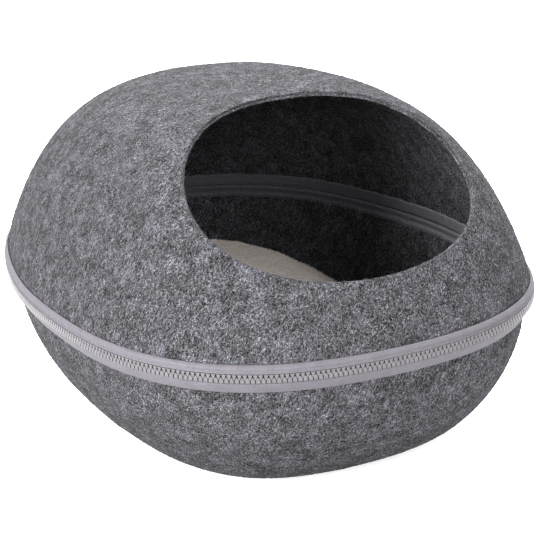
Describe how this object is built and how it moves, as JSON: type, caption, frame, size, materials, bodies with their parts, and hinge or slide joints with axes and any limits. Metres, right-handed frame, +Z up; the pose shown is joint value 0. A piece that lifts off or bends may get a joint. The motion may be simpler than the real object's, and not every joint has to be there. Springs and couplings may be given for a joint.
{
  "type": "felt cat cave with cushion",
  "caption": "Egg-shaped cat cave of two moulded felt shells joined by a zip round the widest line, with an oval entrance in the dome and a plush cushion inside.",
  "frame": {"origin": "on the surface that the cave rests on, under the middle of the bounding box", "axes": "+Z up, -Y the side that the entrance faces, +Y the back, +X to the right of the back when seen from above with the entrance nearest; the cave is symmetric about X = 0"},
  "size_m": [0.3736, 0.4994, 0.267],
  "materials": {
    "felt_grey": "charcoal melange needle felt, matt, short light fibres",
    "zip_tape": "woven zip tape, light mauve-grey, matt",
    "zip_teeth": "moulded plastic teeth, light mauve-grey, satin",
    "seam_strip": "woven strip inside the seam, mid grey, matt",
    "plush_cream": "short plush, warm cream"
  },
  "bodies": {
    "root": {"upper_shell": "felt_grey", "lower_shell": "felt_grey", "zip_tape_upper": "zip_tape", "zip_tape_lower": "zip_tape", "zip_teeth_upper": "zip_teeth", "zip_teeth_lower": "zip_teeth", "seam_strip_upper": "seam_strip", "seam_strip_lower": "seam_strip", "cushion": "plush_cream"}
  },
  "joints": []
}
